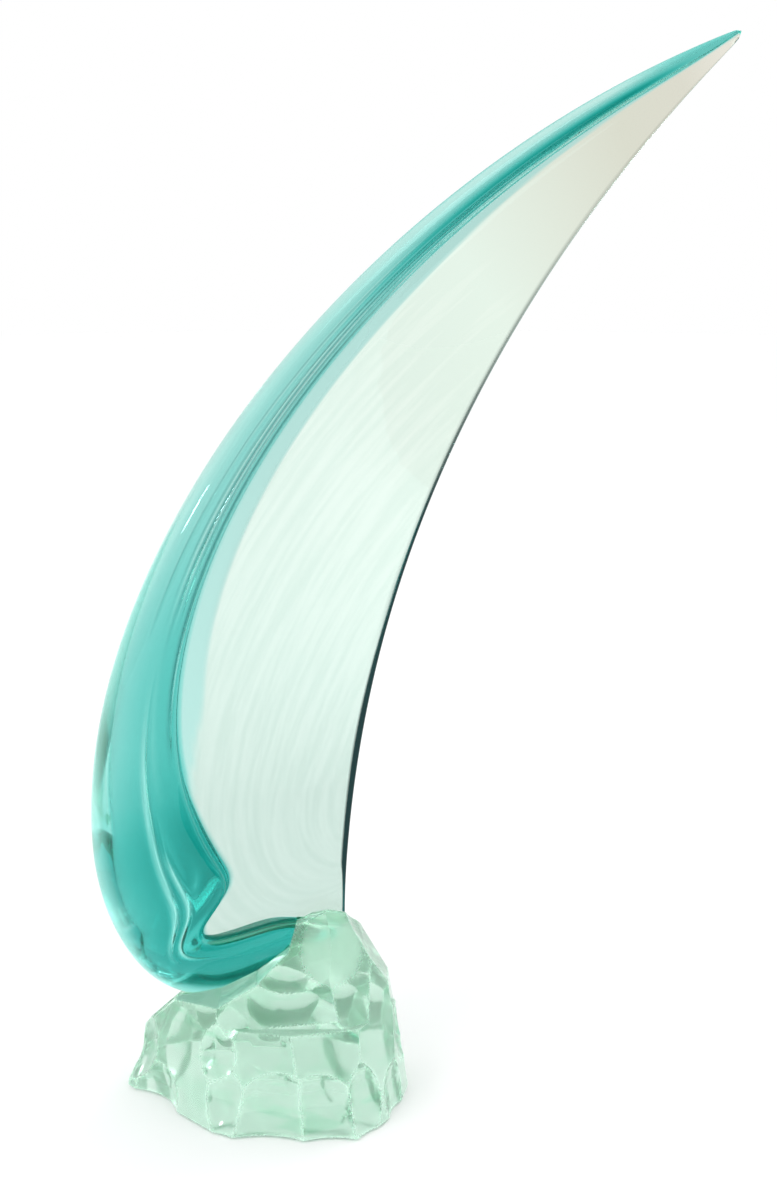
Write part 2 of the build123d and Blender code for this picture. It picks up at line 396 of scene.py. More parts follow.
@dataclass(frozen=True)
class RockGlass:
    """Glass of the rock: pale green, clear in its facets and frosted along its ridges, with a painted glow in
    the frost.

    Attributes:
        depth: colour of the whole piece, from its depth.
        clear: share of the light that goes through.
        tint: colour of the facets.
        ground: colour of the frost.
        grain: how fine the frost is.
        rough: roughness of the facets and of the frost.
        seam: colour of the layers in the glass.
        seam_scale: how often these layers repeat.
        painted_glow: painted glow, an emission colour in the frost, though the glass is no lamp.
        ripple: unevenness of the skin.
    """

    depth: Depth = Depth((0.05, 0.67, 0.36), 2.6)
    clear: float = 0.9
    tint: Colour = (0.81, 0.965, 0.88)
    ground: Colour = (0.84, 0.98, 0.91)
    grain: float = 900.0
    rough: tuple[float, float] = (0.1, 0.45)
    seam: Colour = (0.6, 0.91, 0.74)
    seam_scale: tuple[float, float, float] = (26.0, 26.0, 120.0)
    painted_glow: Colour = (0.22, 0.31, 0.26)
    ripple: Ripple = Ripple(60.0, 0.25)

    def build(self, ripples: bpy.types.NodeTree) -> bpy.types.Material:
        """Makes the material.

        Args:
            ripples: shared group for the unevenness of the skin.

        Returns:
            The finished material.
        """
        material, graph, shader = new_material("pale_green_glass")
        self.depth.fill(graph)
        place = graph.add("TexCoord").outputs["Object"]
        speckle = graph.span(graph.noise(place, self.grain, 3.0), 0.35, 0.65, 0.5, 1.0)
        ground = graph.math("MULTIPLY", graph.mark(Mark.FROST_AND_GLOW), speckle)
        steps = graph.add("Mapping", {"Vector": place, "Scale": self.seam_scale}).outputs["Vector"]
        layers = graph.span(graph.noise(steps, 1.0, 2.0), 0.58, 0.66)
        inputs = {
            "Base Color": graph.mix(ground, graph.mix(layers, self.tint, self.seam), self.ground),
            "Roughness": graph.span(ground, 0.05, 0.6, *self.rough),
            "IOR": GLASS_IOR,
            "Transmission Weight": self.clear,
            # Painted glow: emission in the frost, though the glass is no lamp.
            "Emission Color": graph.mix(ground, BLACK, self.painted_glow),
            "Emission Strength": 1.0,
            "Normal": self.ripple.normal(graph, ripples),
        }
        graph.feed(shader, inputs)
        return material


@dataclass(frozen=True)
class Clouded:
    """Finish with soft clouds of a paler colour.

    Attributes:
        name: name of the finish.
        tint: its colour.
        pale: colour of its clouds.
        cloud: how often these repeat in a metre.
        detail: how ragged they are.
        rough: its roughness.
        ior: how much it bends the light.
        clear: share of the light that goes through.
        ripple: unevenness of the skin.
    """

    name: str
    tint: Colour
    pale: Colour
    cloud: float
    detail: float
    rough: float
    ior: float = GLASS_IOR
    clear: float = 0.0
    ripple: Ripple = Ripple()

    def build(self, ripples: bpy.types.NodeTree) -> bpy.types.Material:
        """Makes the material.

        Args:
            ripples: shared group for the unevenness of the skin.

        Returns:
            The finished material.
        """
        material, graph, shader = new_material(self.name)
        place = graph.add("TexCoord").outputs["Object"]
        clouds = graph.noise(place, self.cloud, self.detail)
        inputs = {
            "Base Color": graph.mix(clouds, self.tint, self.pale),
            "Roughness": self.rough,
            "IOR": self.ior,
            "Transmission Weight": self.clear,
            "Normal": self.ripple.normal(graph, ripples),
        }
        graph.feed(shader, inputs)
        return material


@dataclass(frozen=True)
class ClearResin(Clouded):
    """Cured adhesive in place of the air between the two glasses, so it hardly bends the light there."""

    name: str = "clear_adhesive"
    tint: Colour = (0.62, 0.95, 0.78)
    pale: Colour = (0.86, 1.0, 0.92)
    cloud: float = 160.0
    detail: float = 3.0
    rough: float = 0.05
    ior: float = 1.02
    clear: float = 1.0


@dataclass(frozen=True)
class SoftRubber(Clouded):
    """Milky soft plastic of the bumpers."""

    name: str = "milky_bumper"
    tint: Colour = (0.8, 0.86, 0.83)
    pale: Colour = (0.9, 0.94, 0.92)
    cloud: float = 300.0
    detail: float = 4.0
    rough: float = 0.45
    ripple: Ripple = Ripple(scale=400.0)


class LengthCurve:
    """Cubic curve that is read by shares of its length."""

    SAMPLES = 600

    def __init__(self, start: Vector, start_pull: Vector, end_pull: Vector, end: Vector) -> None:
        """Draws the curve and measures it.

        Args:
            start: first point.
            start_pull: handle at the first point, from that point.
            end_pull: handle at the last point, from that point.
            end: last point.
        """
        self.points = interpolate_bezier(start, start + start_pull, end + end_pull, end, self.SAMPLES)
        self.lengths = [0.0]
        for a, b in zip(self.points, self.points[1:]):
            self.lengths.append(self.lengths[-1] + (b - a).length)

    @property
    def length(self) -> float:
        """Whole length of the curve."""
        return self.lengths[-1]

    def at(self, share: float) -> Vector:
        """Point of the curve.

        Args:
            share: share of the length, from 0 to 1.

        Returns:
            The point.
        """
        wanted = min(max(share, 0.0), 1.0) * self.length
        i = min(max(bisect_right(self.lengths, wanted), 1), len(self.points) - 1)
        low, high = self.lengths[i - 1], self.lengths[i]
        return self.points[i - 1].lerp(self.points[i], (wanted - low) / max(high - low, 1e-9))


def pull(length: float, slope: float) -> Vector:
    """Handle in the plane of the outline, with its slope in degrees."""
    return Vector((length * math.cos(math.radians(slope)), 0, length * math.sin(math.radians(slope))))


def ease(value: float, low: float, high: float) -> float:
    """Smooth step from 0 at low to 1 at high."""
    share = min(max((value - low) / (high - low), 0.0), 1.0)
    return share * share * (3 - 2 * share)


def bell(value: float, middle: float, spread: float) -> float:
    """Bell-shaped share, 1 in the middle."""
    return math.exp(-(((value - middle) / spread) ** 2))


def even(count: int) -> list[float]:
    """Evenly spaced shares from 0, without the last one."""
    return [i / count for i in range(count)]


def ring_edges(loop: Sequence[bmesh.types.BMVert]) -> list[bmesh.types.BMEdge]:
    """Edges between the vertices of a ring."""
    members = set(loop)
    return list(dict.fromkeys(e for v in loop for e in v.link_edges if e.other_vert(v) in members))


@dataclass(frozen=True)
class Fold:
    """Groove in the front of the rim that runs along the sweep.

    Attributes:
        middle: place across the rim, as a share of its width.
        drift: how far that place moves over the length of the fold.
        spread: half width, as a share of the rim's width.
        depth: depth in millimetres; a raised fold has a negative one.
        line_shade: how dark its painted shade line is, from 0 to 1.
        light: share of the teal that is left out along it, which paints a lighter highlight line; it also
            feeds the painted glow.
        start: sweep where the fold begins, 0 at the toe, 1 at the belly, 2 at the tip.
        stop: sweep where it ends.
    """

    middle: float
    drift: float
    spread: float
    depth: float
    line_shade: float
    light: float
    start: float
    stop: float

    def strength(self, across: float, sweep: float) -> float:
        """Share of the fold's depth at a place.

        Args:
            across: place across the rim.
            sweep: place along the wave.

        Returns:
            The share, from 0 to 1.
        """
        share = (sweep - self.start) / (self.stop - self.start)
        if not 0.0 < share < 1.0:
            return 0.0
        ends = ease(share, 0.0, 0.2) * ease(1 - share, 0.0, 0.3)
        return ends * bell(across, self.middle + self.drift * share, self.spread)


# Each fold: middle, drift, spread, depth, painted shade line, painted highlight share, start, stop.
FOLDS = (
    Fold(0.52, 0.1, 0.026, 3.4, 0.0, 0.9, 0.54, 1.2),
    Fold(0.56, 0.1, 0.016, -1.8, 0.5, 0.0, 0.54, 1.2),
    Fold(0.68, -0.04, 0.024, 2.6, 0.0, 0.85, 0.5, 0.95),
    Fold(0.4, 0.1, 0.02, 0.5, 0.6, 0.0, 1.18, 1.7),
    Fold(0.6, 0.06, 0.02, 0.6, 0.7, 0.0, 1.2, 1.9),
    Fold(0.65, 0.05, 0.02, 0.0, 0.0, 0.8, 1.2, 1.7),
    Fold(0.7, 0.04, 0.025, 0.8, 0.9, 0.0, 1.16, 1.9),
    Fold(0.745, 0.035, 0.02, 0.0, 0.0, 0.8, 1.2, 1.7),
    Fold(0.79, 0.03, 0.02, 0.6, 0.7, 0.0, 1.2, 1.85),
    Fold(0.9, 0.0, 0.03, 0.7, 1.0, 0.0, 1.04, 1.7),
)


@dataclass(frozen=True)
class TealLayer:
    """Layer of teal in the rim. A depth of 1 divides the red light by e.

    Attributes:
        foot: depth at the sheet in the foot band, and the power with which it grows from the nose.
        heel: the same round the heel.
        rim: the same along the rim.
        belly: what the rim has more beside the heel.
        upper: the same as foot, in the upper part of the rim.
        seam: depth of the dark line there, its place across the rim and its spread.
        tip: depth at the tip.
        sheet: depth in the pale ledge.
        belly_end, to_heel, to_rim, to_upper, to_tip: stretches of the sweep over which these change.
    """

    foot: tuple[float, float] = (3.8, 0.3)
    heel: tuple[float, float] = (6.0, 0.6)
    rim: tuple[float, float] = (1.75, 0.55)
    belly: float = 1.0
    upper: tuple[float, float] = (0.7, 0.3)
    seam: tuple[float, float, float] = (5.2, 0.68, 0.13)
    tip: float = 1.9
    sheet: float = 0.75
    belly_end: tuple[float, float] = (1.1, 1.4)
    to_heel: tuple[float, float] = (0.4, 0.6)
    to_rim: tuple[float, float] = (0.85, 1.1)
    to_upper: tuple[float, float] = (1.5, 1.75)
    to_tip: tuple[float, float] = (1.86, 1.95)

    def at(self, share: float, sweep: float) -> float:
        """Depth at a place of the rim.

        Args:
            share: place across the rim, 0 at the nose and 1 at the sheet.
            sweep: place along the wave.

        Returns:
            The depth.
        """
        foot, heel = (most * share**power for most, power in (self.foot, self.heel))
        rim = (self.rim[0] + self.belly * (1 - ease(sweep, *self.belly_end))) * share ** self.rim[1]
        upper = self.upper[0] * share ** self.upper[1] + self.seam[0] * bell(share, *self.seam[1:])
        value = foot + (heel - foot) * ease(sweep, *self.to_heel)
        value += (rim - value) * ease(sweep, *self.to_rim)
        value += (upper - value) * ease(sweep, *self.to_upper)
        return value + (self.tip - value) * ease(sweep, *self.to_tip)


class Side(IntEnum):
    """Sides of a section, in the order in which its outline runs through them."""

    NOSE_FRONT = 0
    BROW_FRONT = 1
    WALL_FRONT = 2
    SHEET_FRONT = 3
    FREE_EDGE = 4
    SHEET_BACK = 5
    WALL_BACK = 6
    BROW_BACK = 7
    NOSE_BACK = 8


NOSE_SIDES = (Side.NOSE_FRONT, Side.NOSE_BACK)
FRONT_SIDES = (Side.NOSE_FRONT, Side.BROW_FRONT)
RIM_SIDES = (*FRONT_SIDES, Side.BROW_BACK, Side.NOSE_BACK)
SHEET_SIDES = (Side.SHEET_FRONT, Side.FREE_EDGE, Side.SHEET_BACK)


@dataclass
class SideCurve:
    """Curve of one side of a section.

    Attributes:
        start: first point.
        start_handle: its handle.
        end_handle: handle of the last point.
        stop: last point.
        shares: places at which the curve is sampled, without the last point.
    """

    start: Vector
    start_handle: Vector
    end_handle: Vector
    stop: Vector
    shares: list[float]

    def at(self, t: float) -> Vector:
        """Point of the curve, from its start (0) to its stop (1)."""
        s = 1 - t
        pulled = self.start * s**3 + self.start_handle * (3 * s * s * t) + self.end_handle * (3 * s * t * t)
        return pulled + self.stop * t**3


@dataclass
class Ring:
    """One section of the wave.

    Attributes:
        points: its points, in millimetres.
        across: place of each point across the wave, in tenths of a metre.
        paint: values of the painted marks at each point.
        along: place of the section along the wave, in tenths of a metre.
    """

    points: list[Vector] = field(default_factory=list)
    across: list[float] = field(default_factory=list)
    paint: list[tuple[float, ...]] = field(default_factory=list)
    along: float = 0.0


@dataclass
class GlassWave:
    """The wave: a thick rolled rim that thins into a sheet, from the toe round the heel to the tip.

    Sizes are in millimetres, from the axis of the rock. A pull is the length of a curve's handle, with its
    slope in degrees where it has two values. A form is a bulge to the front, a bulge to the back and the
    crest's share of the rim's width. The sweep is 0 at the toe, 1 at the belly and 2 at the tip.

    Attributes:
        middle_x: distance from the rock's axis to the middle of the part.
        toe, keel, belly, tip: points of the outline, as X and Z.
        toe_pull, keel_pull, belly_pull_down, belly_pull_up, crest_pull: pulls of the outer outline.
        edge_pull_up, edge_pull_tip: pulls of the free edge.
        tip_lean: how far the tip leans towards the viewer.
        rim: width of the rim along the sail, with its bulges to the front and the back.
        heel_form, toe_form: forms of the rim at the heel and at the toe.
        sheet_root, sheet_edge: thickness of the sheet beside the rim and at its free edge.
        edge_forward: how far the free edge bows forward.
        edge_shade_band: width of the painted shade band along it.
        band_thins, band_loss: where along the sweep that band gets narrower, and by what share.
        toe_start: step of the first section, inside the rock.
        waist: share of the free edge that belongs to the foot.
        fan: how the sections of the sail spread along the free edge.
        foot_width, foot_narrowing: rim's share of the section at the toe, and what it loses to the belly.
        swell_turn: how far round the foot the bulges grow.
        notches: share of the section, place and spread of each narrow place of the rim.
        brow, back_brow: where the face of the rim turns down to the sheet, as a share of the width.
        brow_drop: height of that place, as a share of the bulge.
        back_crest: crest of the back, as a share of the width.
        worn, worn_at: how much of the back is worn away at the notch, and the place and spread of that.
        sheet_set: how far forward the sheet stands, as a share of the bulge.
        ledge_height, ledge_width: pale ledge, as shares of the rim's wall and of its width.
        ledge_rise, ledge_fall: where along the sweep it rises and falls.
        wall_shade_line: where along the sweep the painted shade line in the rim's wall begins.
        painted_glow_width, painted_glow_end: where across the rim and along the sweep the painted glow of its
            edge ends.
        painted_shine_end: where along the sweep the painted glow of the folds ends.
        heel_power: how fast the heel's form gives way to the sail's.
        tip_sharpness: how suddenly the sheet ends at the tip.
        teal: layer of teal in the rim.
    """

    middle_x: float = 80.45
    toe: tuple[float, float] = (47.0, 98.0)
    keel: tuple[float, float] = (-38.0, 61.3)
    belly: tuple[float, float] = (-98.5, 165.0)
    tip: tuple[float, float] = (266.0, 614.5)
    toe_pull: tuple[float, float] = (18.0, 20.0)
    keel_pull: float = 26.0
    belly_pull_down: float = 69.0
    belly_pull_up: float = 170.5
    crest_pull: tuple[float, float] = (215.0, 19.8)
    edge_pull_up: float = 270.0
    edge_pull_tip: tuple[float, float] = (112.0, 44.5)
    tip_lean: float = 18.0
    rim: tuple[float, float, float] = (24.0, 12.0, 16.0)
    heel_form: tuple[float, float, float] = (22.0, 42.0, 0.6)
    toe_form: tuple[float, float, float] = (8.0, 8.0, 0.85)
    sheet_root: float = 6.0
    sheet_edge: float = 3.5
    edge_forward: float = 12.0
    edge_shade_band: float = 2.0
    band_thins: tuple[float, float] = (1.1, 1.45)
    band_loss: float = 0.85
    toe_start: float = 0.07
    waist: float = 0.167
    fan: float = 1.45
    foot_width: float = 0.82
    foot_narrowing: float = 0.42
    swell_turn: float = 1.6
    notches: tuple[tuple[float, float, float], ...] = ((0.28, 0.57, 0.09), (0.25, 0.0, 0.1))
    brow: float = 0.98
    back_brow: float = 0.85
    brow_drop: float = 0.75
    back_crest: float = 0.55
    worn: float = 0.2
    worn_at: tuple[float, float] = (0.55, 0.1)
    sheet_set: float = 0.3
    ledge_height: float = 0.55
    ledge_width: float = 0.33
    ledge_rise: tuple[float, float] = (1.0, 1.16)
    ledge_fall: tuple[float, float] = (1.6, 1.95)
    wall_shade_line: tuple[float, float] = (0.9, 1.1)
    painted_glow_width: tuple[float, float] = (0.04, 0.22)
    painted_glow_end: tuple[float, float] = (1.15, 1.45)
    painted_shine_end: tuple[float, float] = (1.0, 1.2)
    heel_power: int = 5
    tip_sharpness: int = 40
    teal: TealLayer = TealLayer()

    def __post_init__(self) -> None:
        """Draws the four curves that the sections hang on."""
        toe, keel, belly, tip = (self.place(*p) for p in (self.toe, self.keel, self.belly, self.tip))
        self.keel_line = LengthCurve(toe, -pull(*self.toe_pull), pull(self.keel_pull, 0), keel)
        self.heel_line = LengthCurve(keel, -pull(self.keel_pull, 0), -pull(self.belly_pull_down, 90), belly)
        self.crest_line = LengthCurve(belly, pull(self.belly_pull_up, 90), -pull(*self.crest_pull), tip)
        self.free_edge = LengthCurve(toe, pull(self.edge_pull_up, 90), -pull(*self.edge_pull_tip), tip)

    def place(self, x: float, z: float) -> Vector:
        """Point given from the axis of the rock, in the part's own frame."""
        return Vector((x - self.middle_x, 0, z))

    def forward(self, along: float) -> float:
        """How far the free edge stands in front of the outline's plane."""
        return self.edge_forward * math.sin(math.pi * along)

    def foot_sizes(self, step: float, length: float) -> tuple[float, ...]:
        """Sizes of the rim round the foot.

        Args:
            step: share of the way from the toe to the belly.
            length: length of the section.

        Returns:
            Width, bulge to the front, bulge to the back and the crest's share of the width.
        """
        swell = math.sin(math.pi * step / self.swell_turn) ** 2
        notch = sum(deep * bell(step, middle, spread) for deep, middle, spread in self.notches)
        width = length * (self.foot_width - self.foot_narrowing * step - notch)
        return width, *(a + (b - a) * swell for a, b in zip(self.toe_form, self.heel_form))

    def ledge(self, sweep: float) -> float:
        """Height of the pale ledge between the rim and the sheet, as a share of the wall."""
        return self.ledge_height * ease(sweep, *self.ledge_rise) * (1 - ease(sweep, *self.ledge_fall))

    @staticmethod
    def sheet_shares(bench: float, band: float, span: float) -> list[float]:
        """Places at which a face of the sheet is sampled, close together at the ledge and the free edge.

        Args:
            bench: width of the ledge.
            band: width of the dark band along the free edge.
            span: width of the sheet.

        Returns:
            Shares of the face, from the rim to the free edge.
        """
        steps = (0, 0.15, 0.35, 0.6, 0.8, 0.9, 0.98, 1.06, 1.16, 1.3, 1.6)
        near = [step * bench / span for step in steps]
        far = [near[-1] + (1 - near[-1]) * (i / 9) ** 1.3 for i in range(1, 9)]
        insets = (min(3 * band, 0.065 * span), 1.5 * band, band)
        return near + far + [1 - inset / span for inset in insets]

    @staticmethod
    def rim_handles(width: float, crest: Vector, brow: Vector, root: Vector) -> tuple[Vector, ...]:
        """Handles of the nose, the brow and the wall on one face of the rim.

        Args:
            width: width of the rim.
            crest: highest point of the face.
            brow: point where it turns down.
            root: point where it meets the sheet.

        Returns:
            Two handles for each side, in the order from the nose to the sheet.
        """
        right, down = Vector((1, 0, 0)), Vector((0, 1, 0))
        return (
            down * (crest.y * QUARTER_ROUND),
            crest - right * (crest.x * QUARTER_ROUND),
            crest + right * ((brow.x - crest.x) * 0.7),
            brow + down * ((crest.y - brow.y) * 0.8),
            brow + down * ((root.y - brow.y) * 0.7),
            root - right * ((width - brow.x) * 0.9),
        )

    def side_curves(
        self, sizes: Sequence[float], length: float, forward: float, taper: float, sweep: float,
        shares: list[float],
    ) -> list[SideCurve]:
        """Curves of the nine sides of a section, drawn flat with the nose at the origin.

        Args:
            sizes: width of the rim, its bulges to the front and the back, and its crest.
            length: length of the section.
            forward: how far the free edge stands forward.
            taper: how much of the sheet's thickness is left.
            sweep: place along the wave.
            shares: places at which the faces of the sheet are sampled.

        Returns:
            The curves, in the order of the sides.
        """
        width, front, back, crest_at = sizes
        root, edge = self.sheet_root * taper / 2, self.sheet_edge * taper / 2
        seat = -front * self.sheet_set
        span = length - width
        slope = Vector((span, -2 * (seat + forward), 0)).normalized()
        across = Vector((-slope.y, slope.x, 0))
        nose, end = Vector((0, 0, 0)), Vector((length, -forward, 0))
        worn = self.worn * bell(sweep, *self.worn_at)
        crest = Vector((crest_at * width, -front, 0))
        brow = Vector((self.brow * width, -front * self.brow_drop, 0))
        back_crest = Vector(((self.back_crest - worn) * width, back, 0))
        back_brow = Vector(((self.back_brow - 1.6 * worn) * width, back * self.brow_drop, 0))
        valley, spine = Vector((width, seat - root, 0)), Vector((width, seat + root, 0))
        end_front, end_back = end - across * edge, end + across * edge
        run, fall, tongue = Vector((1, 0, 0)) * (span / 3), slope * (span / 3 / slope.x), slope * edge
        ahead = self.rim_handles(width, crest, brow, valley)
        behind = self.rim_handles(width, back_crest, back_brow, spine)
        back_shares = [0.0] + [1 - t for t in reversed(shares[1:])]
        return [
            SideCurve(nose, ahead[0], ahead[1], crest, even(36)),
            SideCurve(crest, ahead[2], ahead[3], brow, even(30)),
            SideCurve(brow, ahead[4], ahead[5], valley, even(8)),
            SideCurve(valley, valley + run, end_front - fall, end_front, shares),
            SideCurve(end_front, end_front + tongue, end_back + tongue, end_back, even(8)),
            SideCurve(end_back, end_back - fall, spine + run, spine, back_shares),
            SideCurve(spine, behind[5], behind[4], back_brow, even(8)),
            SideCurve(back_brow, behind[3], behind[2], back_crest, even(8)),
            SideCurve(back_crest, behind[1], behind[0], nose, even(18)),
        ]

    def section(
        self, outer: Vector, inner: Vector, sizes: Sequence[float], forward: float, taper: float, sweep: float
    ) -> Ring:
        """One section: a round rim at the outer point and a thin sheet to the inner point.

        Args:
            outer: point on the crest.
            inner: point on the free edge.
            sizes: width of the rim, its bulges to the front and the back, and its crest.
            forward: how far the free edge stands forward.
            taper: how much of the sheet's thickness is left.
            sweep: place along the wave.

        Returns:
            The section, with its paint.
        """
        width = sizes[0]
        length, x_dir, y_dir = (inner - outer).length, (inner - outer).normalized(), Vector((0, 1, 0))
        span = length - width
        bench = min(self.ledge_width * width, 0.3 * span)
        band = self.edge_shade_band * (1 - self.band_loss * ease(sweep, *self.band_thins)) / max(abs(x_dir.x), 0.35)
        band = min(band, 0.04 * span)
        shares = self.sheet_shares(bench, band, span)
        curves = self.side_curves(sizes, length, forward, taper, sweep, shares)
        wall = curves[Side.WALL_FRONT]
        height = self.ledge(sweep) * (wall.stop.y - wall.start.y)
        pale = bench * self.ledge(sweep) / self.ledge_height
        ring = Ring()
        for side, curve in zip(Side, curves):
            for t in curve.shares:
                point = curve.at(t)
                share = min(max(point.x / width, 0.0), 1.0)
                line = light = nose = sheet = edge = 0.0
                if side in NOSE_SIDES:
                    # Painted glow along the rim's outer edge.
                    nose = (1 - ease(share, *self.painted_glow_width)) * (1 - ease(sweep, *self.painted_glow_end))
                if side in RIM_SIDES:
                    for fold in FOLDS:
                        strength = fold.strength(share, sweep)
                        # Painted highlight: less teal along the fold, so it shows as a lighter line.
                        light += fold.light * strength
                        if side in FRONT_SIDES:
                            point.y += fold.depth * strength
                            # Painted shade: a dark line along the groove.
                            line += fold.line_shade * strength
                            # Painted glow along the folds, joined to the edge's painted glow.
                            painted_shine = fold.light * strength**2 * (1 - ease(sweep, *self.painted_shine_end))
                            nose = max(nose, painted_shine)
                depth = self.teal.at(share, sweep) * (1 - light)
                if side is Side.WALL_FRONT:
                    point.y -= height * t**2
                    # Painted shade: a dark line along the rim's wall.
                    line = bell(t, 0.4, 0.35) * ease(sweep, *self.wall_shade_line)
                if side is Side.SHEET_FRONT:
                    point.y -= height * (1 - ease(point.x - width, 0.85 * bench, 1.2 * bench))
                if side in SHEET_SIDES:
                    depth = self.teal.sheet
                    sheet = ease(point.x - width, 0.9 * pale, 1.05 * pale + 1)
                    # Painted shade along the free edge.
                    edge = 1 - ease(length - point.x, 1.05 * band, 1.45 * band)
                ring.points.append(outer + x_dir * point.x + y_dir * point.y)
                ring.across.append(point.x / 100)
                ring.paint.append((sheet, depth, min(line, 1.0), edge, nose))
        return ring

    def foot_section(self, step: float) -> Ring:
        """Section of the foot.

        Args:
            step: share of the way from the toe round the keel to the belly.

        Returns:
            The section.
        """
        along = step * (self.keel_line.length + self.heel_line.length)
        if along < self.keel_line.length:
            outer = self.keel_line.at(along / self.keel_line.length)
        else:
            outer = self.heel_line.at((along - self.keel_line.length) / self.heel_line.length)
        inner = self.free_edge.at(self.waist * step)
        sizes = self.foot_sizes(step, (inner - outer).length)
        ring = self.section(outer, inner, sizes, self.forward(self.waist * step), 1.0, step)
        ring.along = along / 100
        return ring

    def sail_section(self, step: float) -> Ring:
        """Section of the sail.

        Args:
            step: share of the way from the belly to the tip.

        Returns:
            The section.
        """
        lean = Vector((0, -self.tip_lean * step**2, 0))
        along = self.waist + (1 - self.waist) * step**self.fan
        taper = math.sqrt(1 - step**2) * (1 - step**self.tip_sharpness)
        share = (1 - step) ** self.heel_power
        heel = self.foot_sizes(1.0, (self.free_edge.at(self.waist) - self.crest_line.at(0)).length)
        slender = [size * taper for size in self.rim] + [self.heel_form[2]]
        sizes = [a + (b - a) * share for a, b in zip(slender, heel)]
        outer, inner = self.crest_line.at(step) + lean, self.free_edge.at(along) + lean
        ring = self.section(outer, inner, sizes, self.forward(along), taper, 1 + step)
        ring.along = (self.keel_line.length + self.heel_line.length + step * self.crest_line.length) / 100
        return ring

    def rings(self) -> list[Ring]:
        """Sections from the toe to the tip, closer together where the rim parts from the keel.

        Returns:
            The sections.
        """
        foot = [self.toe_start, 0.09, 0.115, 0.145, 0.18, 0.22, 0.26, 0.3, 0.34, 0.38, 0.42]
        foot += [0.45, 0.475, 0.5, 0.52, 0.54, 0.56, 0.58, 0.6, 0.615, 0.63, 0.643, 0.655, 0.667]
        foot += [0.68, 0.7, 0.725, 0.755, 0.79, 0.83, 0.87, 0.91, 0.955]
        sail = [0.986 * i / 56 for i in range(57)]
        return [self.foot_section(step) for step in foot] + [self.sail_section(step) for step in sail]

    def build(self) -> bpy.types.Object:
        """Bridges the sections into one closed skin.

        Returns:
            The wave, at the origin.
        """
        bm = bmesh.new()
        layers = [bm.verts.layers.float.new(mark.value) for mark in PAINTED]
        sweep = bm.loops.layers.uv.new(Mark.SWEEP.value)
        loops, places = [], {}
        for ring in self.rings():
            loop = bmesh.ops.create_circle(bm, cap_ends=False, segments=len(ring.points), radius=1.0)["verts"]
            for vert, point, across, paint in zip(loop, ring.points, ring.across, ring.paint):
                vert.co = point * MM
                for layer, value in zip(layers, paint):
                    vert[layer] = value
                places[vert] = (across, ring.along)
            loops.append(loop)
        for low, high in zip(loops, loops[1:]):
            bmesh.ops.bridge_loops(bm, edges=ring_edges(low) + ring_edges(high))
        for loop in (loops[0], loops[-1]):
            bmesh.ops.contextual_create(bm, geom=ring_edges(loop))
        bmesh.ops.recalc_face_normals(bm, faces=bm.faces)
        for face in bm.faces:
            for corner in face.loops:
                corner[sweep].uv = places[corner.vert]
        piece = mesh_piece("wave_skin", bm)
        smooth = piece.modifiers.new("smooth", "SUBSURF")
        smooth.levels = smooth.render_levels = 1
        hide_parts("glass_wave")
        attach(piece, BODY)
        log.info("wave_skin: %d sections of %d points", len(loops), len(loops[0]))
        return piece


